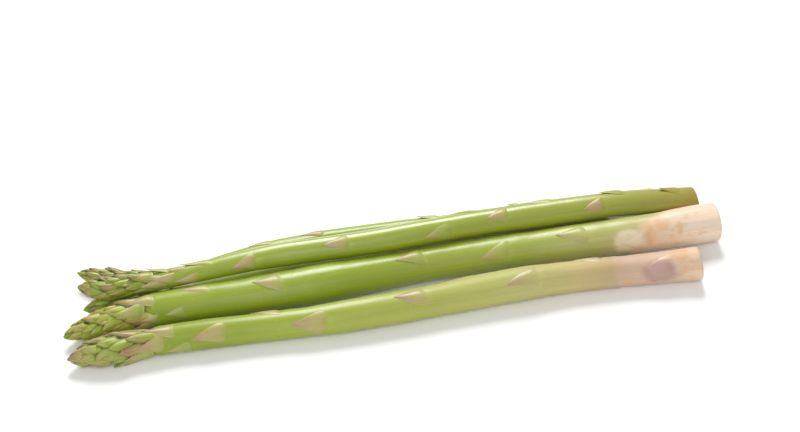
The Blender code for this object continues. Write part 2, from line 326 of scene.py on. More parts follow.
@dataclass(frozen=True)
class SpearColours:
    """The colours of one spear, which its skin and its scales share.

    Attributes:
        stops: The skin's colours along the spear, as shares of its length.
        stain: The tan of the blotches near the cut end, which begin at the share stain_from.
        blush: The tint of marked patches.
        flesh: The cut face.
        point: The tint of the stem scales' points, and head_point that of the head scales.
        head: The head scales' colours at their base and in their middle.
        lean: How much further along the stops are for each millimetre towards the front side.
        wax_to: The share of the length up to which the skin is waxy; past it the stem is duller.
        gloss: The weight of the wax.
    """

    stops: tuple[tuple[float, Colour], ...]
    stain: Colour
    stain_from: float
    blush: Colour
    flesh: Colour
    point: Colour
    head: tuple[Colour, Colour]
    head_point: Colour
    lean: float = 0.0
    wax_to: float = 0.92
    gloss: float = 0.42

    def skin(self, g: Graph) -> Value:
        """The stem's colour: the stops along it, a slow mottle, fine streaks, blotches and marked patches."""
        share = g.stored("share")
        slow = g.grain(0.05, 0.16, 3.0)
        wander = g.grain(0.12, 0.22, 2.0)
        streaks = g.grain(0.02, 1.5, 3.0, 0.6)
        fine = g.grain(0.9, 2.2, 4.0, 0.6)
        place = share + (wander - 0.5) * 0.03 + g.stored("side") * self.lean
        base = g.make("ShaderNodeValToRGB", {"stops": self.stops}, "Color", Fac=place)
        base = g.tint(0.55 * slow.step(0.35, 0.72), base, (1.14, 1.05, 0.92))
        base = g.tint(0.45 * streaks.step(0.62, 0.38), base, (0.82, 0.90, 0.74))
        base = g.tint(0.30 * streaks.step(0.56, 0.72), base, (1.18, 1.12, 1.15))
        spots = g.grain(0.22, 0.34, 4.0, 0.66)
        end = share.step(self.stain_from - 0.04, self.stain_from + 0.04)
        stain = (g.stored("stain") * spots * 2.0).step(0.35, 0.95)
        base = g.mix(0.75 * g.math("MAXIMUM", spots.step(0.50, 0.72) * end, stain), base, self.stain)
        patch = (g.stored("patch") + (wander - 0.5) * 0.5 + (spots - 0.5) * 0.9).step(0.22, 0.80)
        base = g.mix(0.85 * patch, base, self.blush)
        nicks = g.grain(0.40, 1.3, 3.0, 0.7)
        base = g.mix(0.40 * nicks.step(0.62, 0.74), base, srgb(186, 164, 112))
        return g.tint(0.22 * fine.step(0.60, 0.75), base, (0.82, 0.86, 0.72))


@dataclass(frozen=True)
class SkinFinish:
    """The waxy skin of a stem, from the green of its head to the paler end where it was cut.

    Attributes:
        inside: The core between the head's scales, painted dark green as shade in the gaps between them.
        fibre: The pale fibres of the cut face.
        least_wax: The wax that is left where the skin is dull.
        wax_start: Where the wax begins and where it is full, in millimetres from the tip.
        wax_fade: Half the stretch in which it ends, as a share of the length.
    """

    name: str
    colours: SpearColours
    inside: Colour = srgb(82, 106, 10)
    fibre: Colour = srgb(226, 220, 178)
    least_wax: float = 0.08
    wax_start: tuple[float, float] = (20.0, 85.0)
    wax_fade: float = 0.15

    def material(self) -> bpy.types.Material:
        """Build the material: the skin, with a painted highlight below each scale and painted shade on the
        core inside the head, and wet flesh.
        """
        g = Graph(self.name)
        streaks = g.grain(0.02, 1.5, 3.0, 0.6)
        fine = g.grain(0.9, 2.2, 4.0, 0.6)
        dents = g.grain(0.30, 0.55, 3.0, 0.55)
        base = self.colours.skin(g)
        # Painted highlight: a paler band just below each scale's base, where the swelling catches the light.
        base = g.tint(0.22 * g.stored("painted_base_highlight"), base, (1.25, 1.22, 1.3))
        along = g.stored("along")
        # Painted shade: the core inside the head is painted dark green, standing in for the shade in the gaps
        # between its scales.
        base = g.mix(along.step(29.0, 24.0) * along.step(3.0, 9.0), base, self.inside)
        cut = g.stored("cut")
        strands = g.make("ShaderNodeTexVoronoi", {"feature": "F1"}, "Distance", Vector=g.place(0.0, 1.0),
                         Scale=1.15)
        flesh = g.tint(0.6 * strands.step(0.34, 0.12), self.colours.flesh, (0.70, 0.74, 0.55))
        flesh = g.mix(0.4 * fine.step(0.40, 0.66), flesh, self.fibre)
        base = g.mix(cut, base, flesh)
        wax_to = self.colours.wax_to
        wax = g.stored("share").step(wax_to + self.wax_fade, wax_to - self.wax_fade) * (1 - cut)
        wax = wax * along.step(*self.wax_start)
        g.feed(g.shader.inputs["Coat Weight"], self.least_wax + self.colours.gloss * wax)
        rough = 0.54 - 0.16 * wax + 0.14 * streaks + 0.10 * (fine - 0.5)
        g.bump(streaks * 0.06 + fine * 0.03 + dents * 0.17 + strands.step(0.34, 0.1) * cut * 0.08, 0.6)
        return g.finish(base, rough, FLESHY)


@dataclass(frozen=True)
class StemScaleFinish:
    """The thin skin of a scale pressed on the stem: the stem's own colour, tan or pink towards its point.

    Attributes:
        bloom: What pales the whole scale a little.
        tan: Its upper part.
        paper: Its dry margin, and the pale line of painted highlight along its base.
    """

    name: str
    colours: SpearColours
    bloom: Colour = srgb(206, 200, 150)
    tan: Colour = srgb(168, 152, 94)
    paper: Colour = srgb(208, 202, 146)

    def material(self) -> bpy.types.Material:
        """Build the material.

        It takes the stem's colour, with a tan that grows towards the point, fine veins, a thin pale papery
        margin, a pale line of painted highlight along its base and a tint of its own for each scale. Scales
        near the cut end stay as pale as the stem.
        """
        g = Graph(self.name)
        u, v, tone = g.stored("up"), g.stored("off"), g.stored("tone")
        mottle = g.grain(0.24, 0.34, 3.0, 0.6)
        fine = g.grain(0.6, 1.6, 3.0, 0.6)
        green = g.stored("share").step(self.colours.stain_from - 0.04, self.colours.stain_from - 0.12)
        base = g.mix(0.12 * green, self.colours.skin(g), self.bloom)
        far = u + (mottle - 0.5) * 0.8 + (tone - 0.5) * 1.0
        base = g.mix(0.75 * far.step(0.05, 0.70) * green, base, self.tan)
        base = g.mix(0.80 * far.step(0.60, 1.20) * green, base, self.colours.point)
        vein = g.make("ShaderNodeMath", {"operation": "SINE"}, Value=v * 22.0 + mottle * 5.0)
        base = g.tint(0.14 * vein.step(0.1, 0.9), base, (0.82, 0.88, 0.76))
        width = g.make("ShaderNodeMath", {"operation": "ABSOLUTE"}, Value=v)
        margin = (width + (fine - 0.5) * 0.12).step(0.84, 1.0)
        # Painted highlight: the pale line along each scale's base, where it swells from the stem; the side
        # margins are the scale's own dry edge.
        heel = (u + (fine - 0.5) * 0.04).step(0.07, 0.02)
        rim = g.math("MAXIMUM", margin, heel) * mottle.step(0.36, 0.62) * green
        base = g.mix(0.26 * rim, base, self.paper)
        base = g.tint(0.30 * fine.step(0.58, 0.74), base, (0.80, 0.82, 0.70))
        g.bump(vein * 0.010 + fine * 0.03 + mottle * 0.03, 0.6)
        return g.finish(base, 0.44 + 0.14 * mottle, FLESHY)


@dataclass(frozen=True)
class HeadScaleFinish:
    """The skin of a head's scales: green at the base, tan in the middle, purple brown at the point.

    Attributes:
        heel: The pale base of a scale.
        margin: Its sides, darkened as painted shade where the neighbouring scales overlap.
    """

    name: str
    colours: SpearColours
    heel: Colour = srgb(196, 202, 112)
    margin: Colour = srgb(64, 82, 10)

    def material(self) -> bpy.types.Material:
        """Build the material.

        It runs from base to point, by a shift of its own for each scale, so that some stay green and others
        are tan all over. Dark veins run along it, its base is a pale yellow green and its margins are
        darkened as painted shade where the scales overlap.
        """
        g = Graph(self.name)
        u, v, tone = g.stored("up"), g.stored("off"), g.stored("tone")
        mottle = g.grain(0.28, 0.55, 3.0, 0.6)
        fine = g.grain(0.5, 1.9, 3.0, 0.6)
        far = u + (mottle - 0.5) * 0.9 + (tone - 0.5) * 1.1
        base = g.mix(far.step(0.15, 0.65), self.colours.head[0], self.colours.head[1])
        base = g.mix(0.85 * far.step(0.70, 1.15), base, self.colours.head_point)
        vein = g.make("ShaderNodeMath", {"operation": "SINE"}, Value=v * 16.0 + mottle * 8.0)
        base = g.tint(0.40 * vein.step(0.0, 0.9), base, (0.64, 0.72, 0.50))
        base = g.tint(0.55 * fine.step(0.52, 0.70), base, (0.62, 0.70, 0.45))
        width = g.make("ShaderNodeMath", {"operation": "ABSOLUTE"}, Value=v)
        heel = (u + (fine - 0.5) * 0.1).step(0.30, 0.12)
        base = g.mix(0.50 * heel, base, self.heel)
        # Painted shade: each scale's sides are darkened where its neighbours overlap it.
        margin = (width + (mottle - 0.5) * 0.5).step(0.60, 0.92)
        base = g.mix(0.82 * margin, base, self.margin)
        base = g.tint(0.35 * tone.step(0.60, 1.0), base, (1.20, 1.16, 1.25))
        g.bump(vein * 0.03 + fine * 0.07 + mottle * 0.05, 0.9)
        return g.finish(base, 0.46 + 0.14 * mottle, FLESHY)


@dataclass(frozen=True)
class FloorFinish:
    """A plain, pale, matt table top."""

    name: str = "pale_floor"

    def material(self) -> bpy.types.Material:
        """Build the material: near white, with a hardly visible mottle."""
        g = Graph(self.name)
        place = g.make("ShaderNodeTexCoord", {}, "Object")
        mottle = g.noise(place, 9.0)
        base = g.mix(0.4 * mottle, (0.93, 0.93, 0.925), (0.95, 0.95, 0.945))
        return g.finish(base, 0.85, {"Specular IOR Level": 0.2})


class ScaleKind(Enum):
    """Where a scale grows, with the rows and columns of its grid."""

    STEM = (21, 15)
    HEAD = (17, 13)


@dataclass(frozen=True)
class Leaf:
    """One scale: the X of its base, its angle, length and half width.

    Attributes:
        tint: How tan it is, from 0 to 1.
        lift: How far its point stands off.
    """

    base: float
    angle: float
    length: float
    half_width: float
    tint: float = 0.5
    lift: float = 0.0


@dataclass(frozen=True)
class Patch:
    """A patch of other skin: X and angle of its middle, its half length and width, and its stored name."""

    x: float
    angle: float
    half_length: float
    half_width: float
    mark: str = "patch"


@dataclass
class Spear:
    """One asparagus spear: the sizes of its stem, scales, head and cut end, and how they are made.

    Angles on a stem are measured in degrees from its top, 0, towards the front side at -Y, 90.
    """

    node: str
    tip: float
    cut: float
    route: Points
    stem: Points
    tip_rise: float
    cut_slant: float
    first_turn: float
    nose: float
    leaves: tuple[Leaf, ...]
    colours: SpearColours
    height: Points = ()
    patches: tuple[Patch, ...] = ()
    nodes: tuple[float, ...] = ()
    fine_leaves: tuple[Leaf, ...] = ()

    nose_tip: float = 0.35
    head_length: float = 31.0
    rise_length: float = 16.0
    core_share: float = 0.76
    core_run: float = 6.0
    rest_sink: float = 0.22
    rim: float = 1.0
    # The stem's grid: its sides, the distance of its rings, the first ring, those of the rim and the cut
    around: int = 72
    ring_gap: float = 0.75
    first_ring: float = 0.4
    rim_rings: int = 5
    cut_rings: int = 14
    # Heights of the swelling below a scale, the ridge at a node, the waist before it, the dish and fibres
    swelling: float = 0.12
    ridge: float = 0.16
    waist: float = 0.08
    dish: float = 0.30
    fibre: float = 0.07
    slant_run: float = 6.0
    # Scales: the stem's height, width by the solid's and thickness, and the head's keel and thickness
    stem_lift: float = 0.46
    stem_spread: float = 1.15
    stem_thick: float = 0.40
    keel: float = 0.30
    head_thick: float = 0.50
    head_count: int = 30
    longest: float = 13.0
    shortest: float = 6.0
    turn_jitter: float = 7.0
    # How far a head scale's point may stand off, and how far it is pressed down beside another spear
    lifts: tuple[float, ...] = (-0.1, 0.1, 0.4, 0.7, 1.2)
    pressed: float = -0.4
    # The narrow scales: the share of the head that has them, and their length and width by a broad one's
    slim_until: float = 0.85
    slim_length: float = 0.70
    slim_width: float = 0.46
    # The gap that scales keep to other spears, measured from the height of the solid's own scales
    clearance: float = 0.35
    solid_height: float = 0.75
    back_angle: float = 215.0
    back_span: float = 115.0
    back_length: float = 10.0
    back_half_width: float = 2.9

    @property
    def slot(self) -> str:
        """The record's material slot of this spear."""
        return self.node.replace("spear", "skin")

    def stem_girth(self, x: Array) -> Array:
        """The radius at x without the head's taper: the stated radii, averaged over 12 mm."""
        places, radii = np.array(self.stem, float).T
        return sum(np.interp(np.asarray(x, float) + d, places, radii) for d in (-6, -3, 0, 3, 6)) / 5

    def girth(self, x: Array) -> Array:
        """The outer radius at x: the stem's times (1 - (1 - t)^2)^0.7, where t is 0 at the tip."""
        t = np.clip((np.asarray(x, float) - self.tip) / self.nose, 0, 1)
        return np.maximum(self.stem_girth(x) * (1 - (1 - t) ** 2) ** 0.7, self.nose_tip)

    def core_girth(self, x: Array) -> Array:
        """The radius of the stem, which narrows to a slim core inside the head."""
        into_head = ease(0, 1, (self.tip + self.head_length - np.asarray(x, float)) / self.core_run)
        return self.girth(x) * (1 - (1 - self.core_share) * into_head)

    def middle_line(self, x: Array) -> Array:
        """The middle of the spear at x. One that lies on the surface is as high as its own radius."""
        x = np.asarray(x, float)
        if self.height:
            z = smooth_through(self.height, x)
        else:
            to_tip = np.clip(1 - (x - self.tip) / self.rise_length, 0, 1)
            z = self.stem_girth(x) - self.rest_sink + self.tip_rise * to_tip ** 2
        return np.stack([x, smooth_through(self.route, x), z], -1)

    def on_spear(self, x: Array, turn: Array, radius: Array) -> Array:
        """Points at x, at an angle in radians round the spear and a distance from its middle line.

        The point is the middle line's, plus the radius times (up * cos + front * sin) of the angle, where up
        and front are the directions across the line. Nothing goes below the surface that the bunch lies on.
        """
        step = 0.5
        along = self.middle_line(x + step) - self.middle_line(x - step)
        along[..., 0] = 2 * step
        along /= np.linalg.norm(along, axis=-1, keepdims=True)
        up = np.array([0.0, 0.0, 1.0]) - along * along[..., 2:]
        up /= np.linalg.norm(up, axis=-1, keepdims=True)
        front = np.cross(along, up)
        out = up * np.cos(turn)[..., None] + front * np.sin(turn)[..., None]
        points = self.middle_line(x) + out * radius[..., None]
        points[..., 2] = np.maximum(points[..., 2], 0.0)
        return points

    def values_at(self, x: Array, turn: Array) -> dict[str, Array]:
        """What every piece of a spear stores: its place along and round the stem, and the marked patches.

        A patch is exp(-r^3), where r is the distance from its middle, in its own half sizes.
        """
        girth = self.stem_girth(x)
        values = {"along": x - self.tip, "share": (x - self.tip) / (self.cut - self.tip),
                  "side": girth * np.sin(turn), "rise": girth * np.cos(turn),
                  "patch": np.zeros_like(x), "stain": np.zeros_like(x)}
        for spot in self.patches:
            off = turn_from(turn, spot.angle) * girth
            reach = ((x - spot.x) / spot.half_length) ** 2 + (off / spot.half_width) ** 2
            values[spot.mark] = np.maximum(values[spot.mark], np.exp(-reach ** 1.5))
        return values

    def all_leaves(self) -> list[Leaf]:
        """The stem's scale leaves: those that show, one between each two at the back, and the fine ones."""
        bases = sorted(leaf.base for leaf in self.leaves)
        middles = [(a + b) / 2 for a, b in zip(bases, bases[1:]) if b - a > 6]
        slim = float(self.stem_girth(np.array(0.0))) / 5
        back = [Leaf(x, self.back_angle + (GOLDEN_TURN * i) % self.back_span, self.back_length,
                     self.back_half_width * slim) for i, x in enumerate(middles)]
        return [leaf for leaf in [*self.leaves, *back] if self.keeps_clear(leaf)] + list(self.fine_leaves)

    def keeps_clear(self, leaf: Leaf) -> bool:
        """Whether a scale as high as the solid's keeps the clearance to every other spear."""
        x = leaf.base - leaf.length * np.array([0.0, 0.3, 0.3, 0.3, 0.65])
        half_turn = leaf.half_width / float(self.stem_girth(np.array(leaf.base)))
        turns = math.radians(leaf.angle) + half_turn * np.array([0.0, -0.5, 0.0, 0.5, 0.0])
        points = self.on_spear(x, turns, self.girth(x) + self.solid_height)
        for other in SPEARS:
            places = np.linspace(other.tip, other.cut, 120)
            gaps = np.linalg.norm(points[:, None] - other.middle_line(places)[None], axis=2)
            nearest = (gaps - other.girth(places)).min()
            if other is not self and nearest < self.solid_height + self.clearance:
                return False
        return True

    def skin_radius(self, x: Array, turn: Array, leaves: list[Leaf]) -> Array:
        """The radius of the finished skin.

        It is the core's radius, times slight lobes round the stem that turn slowly along it and waves
        along it, with a low ridge at each node and a soft swelling just below each scale: a bell in x
        times one in the angle.
        """
        draw = random.Random(self.node + "skin")
        radius = self.core_girth(x)
        for lobes, size in ((2, 0.006), (3, 0.006), (5, 0.005), (8, 0.003)):
            start, twist = draw.uniform(0, 6.28), draw.uniform(-0.012, 0.012)
            radius = radius * (1 + size * np.cos(lobes * turn + start + twist * lobes * x))
        for length, size in ((47.0, 0.014), (21.0, 0.009), (9.0, 0.004)):
            radius = radius * (1 + size * np.sin(x * 2 * math.pi / length + draw.uniform(0, 6.28)))
        for leaf in leaves:
            off = turn_from(turn, leaf.angle)
            half_turn = leaf.half_width / self.stem_girth(np.array(leaf.base))
            bell = np.exp(-((x - leaf.base - 1.5) / 3.2) ** 2 - (off / half_turn) ** 2)
            radius = radius + self.swelling * bell
        for node in self.nodes:
            ridge = self.ridge * np.exp(-((x - node) / 0.7) ** 2)
            radius = radius + ridge - self.waist * ease(node - 4, node, x)
        return radius

    def painted_base_highlight(self, x: Array, turn: Array, leaves: list[Leaf]) -> Array:
        """The narrow bowed band below each scale's base that is painted paler: a painted highlight, from 0 to
        1.
        """
        painted_base_highlight = np.zeros_like(x)
        for leaf in leaves:
            off = turn_from(turn, leaf.angle) * self.stem_girth(x)
            bow = leaf.base + 0.3 - 0.12 * off ** 2
            across = ease(leaf.half_width + 0.5, leaf.half_width * 0.4, np.abs(off))
            painted_base_highlight += np.exp(-((x - bow) / 0.9) ** 2) * across
        return np.clip(painted_base_highlight, 0, 1)

    def build_stem(self, leaves: list[Leaf]) -> bpy.types.Object:
        """The stem as rings from the tip to the rounded rim, closed by a slightly dished, fibrous cut face.

        On the face the rings shrink to a point at the middle. There x is the cut's x less a lean with the
        cosine of the angle, plus a shallow dish and small ripples.
        """
        count = int((self.cut - self.rim - self.tip) / self.ring_gap)
        run = self.cut - self.rim - self.tip - self.first_ring
        along = np.concatenate([[self.tip], self.tip + self.first_ring + run * np.linspace(0, 1, count)])
        bend = np.linspace(0, math.pi / 2, self.rim_rings + 1)[1:]
        inward = np.linspace(1, 0, self.cut_rings + 1)[1:]
        turn = np.arange(self.around) * 2 * math.pi / self.around
        x = np.concatenate([along, self.cut - self.rim + self.rim * np.sin(bend),
                            np.full(len(inward), self.cut)])[:, None] + 0 * turn
        turn = turn + 0 * x
        radius = self.skin_radius(x, turn, leaves)
        rim_rows = slice(len(along), len(along) + len(bend))
        radius[rim_rows] -= self.rim * (1 - np.cos(bend))[:, None]
        radius[0] = 0.0
        face = slice(len(along) + len(bend), None)
        radius[face] = radius[rim_rows][-1:] * inward[:, None]
        end = ease(self.cut - self.slant_run, self.cut, x)
        share = radius / self.stem_girth(np.array(self.cut))
        ripple = self.fibre * np.sin(radius * np.cos(turn) * 3.1 + 1) * np.sin(radius * np.sin(turn) * 2.7)
        places = x - self.cut_slant * end * np.cos(turn) * share
        places[face] += ripple[face] - self.dish * (1 - inward[:, None] ** 2)
        points = self.on_spear(x, turn, radius)
        points[..., 0] += places - x
        cut = np.zeros_like(x)
        cut[face] = 1.0
        values = self.values_at(x, turn)
        values["side"] = np.where(cut > 0, radius * np.sin(turn), values["side"])
        values["rise"] = np.where(cut > 0, radius * np.cos(turn), values["rise"])
        values |= {"cut": cut, "painted_base_highlight": self.painted_base_highlight(x, turn, leaves)}
        return piece_of(f"{self.node}_stem", [Sheet(points, values, round=True)])

    def scale(self, leaf: Leaf, kind: ScaleKind) -> list[Sheet]:
        """One scale as a closed shell of two sheets, its outer and its inner side, which meet at the edge.

        Along it u runs from 0 at the base to 1 at the point, and across it v from -1 to 1. A stem scale is
        a triangle with slightly full sides, 1 - u^1.2. A head scale grows to u = 0.3 and then narrows as
        1 - s^1.5, with a keel along its middle. The outer side's height over the ground rises from the base,
        bends down to the edges with v^2 and takes the lift with u^3. Small waves in the sides and the base,
        and a point bent aside with u^2, make each scale differ. The inner side lies below it by a thickness
        that goes round to nothing at the edge, as sqrt(1 - v^2).
        """
        rows, columns = kind.value
        u = (1 - np.cos(np.linspace(0, 1, rows) * math.pi)) / 2
        v = np.sin(np.linspace(-1, 1, columns) * math.pi / 2)
        u, v = np.meshgrid(u, v, indexing="ij")
        half_width = leaf.half_width
        if kind is ScaleKind.HEAD:
            s = np.clip((u - 0.3) / 0.7, 0, 1)
            width = (0.55 + 0.45 * ease(0, 0.3, u)) * (1 - s ** 1.5)
            x = leaf.base - leaf.length * (u + 0.08 * v ** 2 * (1 - u))
            ground, top = self.core_girth(x), self.girth(x)
            rise = -0.10 + 0.85 * ease(0, 0.30, u) + 0.35 * ease(0.3, 0.75, u) - 0.15 * ease(0.85, 1.0, u)
            height = (top - ground) * (rise - 0.75 * v ** 2 * (1 - 0.3 * u)) + 0.14
            height += self.keel * np.exp(-(v / 0.4) ** 2) * np.sin(math.pi * np.clip(u, 0, 1))
            thick = self.head_thick
        else:
            half_width *= self.stem_spread
            width = (0.90 + 0.10 * ease(0, 0.10, u)) * (1 - u ** 1.2)
            x = leaf.base - leaf.length * (u + 0.05 * v ** 2 * (1 - u))
            ground = self.girth(x)
            rise = -0.10 + 1.10 * ease(0, 0.26, u) - 0.60 * ease(0.5, 1.0, u)
            height = self.stem_lift * rise * (1 - 0.90 * v ** 2)
            thick = self.stem_thick
        height += leaf.lift * u ** 3
        draw = random.Random(f"{self.node}{leaf.base:.1f}{leaf.angle:.0f}")
        width = width * (1 + 0.07 * np.sin(u * draw.uniform(6, 10) + v + draw.uniform(0, 6)) * (1 - u))
        x = x + 0.05 * leaf.length * np.sin(v * draw.uniform(1.5, 3.0) + draw.uniform(0, 6)) * (1 - u) ** 2
        half_turn = np.minimum(half_width * width / ground, math.radians(58))
        skew = half_width * draw.uniform(-0.35, 0.35) * u ** 2 / ground
        turn = math.radians(leaf.angle) + half_turn * v + np.clip(skew, -0.4, 0.4)
        body = thick * np.sqrt(np.clip(1 - v ** 2, 0, 1)) * np.sqrt(np.clip(1 - u ** 6, 0, 1))
        body *= ease(-0.12, 0.10, u)
        body[0] = 0.0
        sheets = []
        for below in (0.0, 1.0):
            radius = np.maximum(ground + height - below * body, 0.02)
            values = self.values_at(x, turn) | {"up": u, "off": v, "tone": np.full_like(u, leaf.tint)}
            sheets.append(Sheet(self.on_spear(x, turn, radius), values))
        return sheets

    def build_stem_scales(self, leaves: list[Leaf]) -> bpy.types.Object:
        """The scale leaves pressed on the stem, as one piece."""
        sheets = [sheet for leaf in leaves for sheet in self.scale(leaf, ScaleKind.STEM)]
        return piece_of(f"{self.node}_stem_scales", sheets, 70)

    def build_head(self) -> bpy.types.Object:
        """The overlapping scales of the head, a golden turn apart and shorter towards the tip.

        Between each two of them lies a narrow one, half a golden turn on, as the side buds' scales do.
        Beside another spear the broad ones are pressed down and the narrow ones are left out.
        """
        draw = random.Random(self.node)
        loose = random.Random(self.node + "head")
        first, last = self.tip + self.head_length, self.tip + self.shortest
        sheets: list[Sheet] = []
        for i in range(self.head_count):
            share = i / (self.head_count - 1)
            base = first + (last - first) * share ** 0.9
            length = self.longest + (self.shortest - self.longest) * share ** 0.8
            length *= 1 + 0.08 * draw.uniform(-1, 1)
            angle = self.first_turn + GOLDEN_TURN * i + self.turn_jitter * draw.uniform(-1, 1)
            half_width = 0.50 * float(self.girth(np.array(base - 0.3 * length))) + 0.40
            half_width *= loose.uniform(0.85, 1.08)
            lift = loose.choice(self.lifts) * min(1.0, 2.2 * (1 - share))
            leaf = Leaf(base, angle, min(length, base - self.tip), half_width, loose.random(), lift)
            if not self.keeps_clear(leaf):
                leaf = replace(leaf, lift=self.pressed)
            sheets += self.scale(leaf, ScaleKind.HEAD)
            slim = Leaf(base - 0.25 * length * loose.uniform(0.6, 1.4), angle + GOLDEN_TURN / 2,
                        self.slim_length * length, self.slim_width * half_width, loose.random(),
                        loose.uniform(0.2, 0.7))
            if share < self.slim_until and self.keeps_clear(slim):
                sheets += self.scale(slim, ScaleKind.HEAD)
        return piece_of(f"{self.node}_head_scales", sheets, 70)

    def build(self) -> None:
        """Make the spear's pieces, dress them, and let them stand for its solid."""
        leaves = self.all_leaves()
        made = (
            (self.build_stem(leaves), SkinFinish(self.slot, self.colours)),
            (self.build_stem_scales(leaves), StemScaleFinish(f"{self.slot}_scale", self.colours)),
            (self.build_head(), HeadScaleFinish(f"{self.slot}_head", self.colours)),
        )
        for piece, finish in made:
            piece.data.materials.append(finish.material())
            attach(piece, BODY)
            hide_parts(self.node)
            log.info("%s: %d faces", piece.name, len(piece.data.polygons))


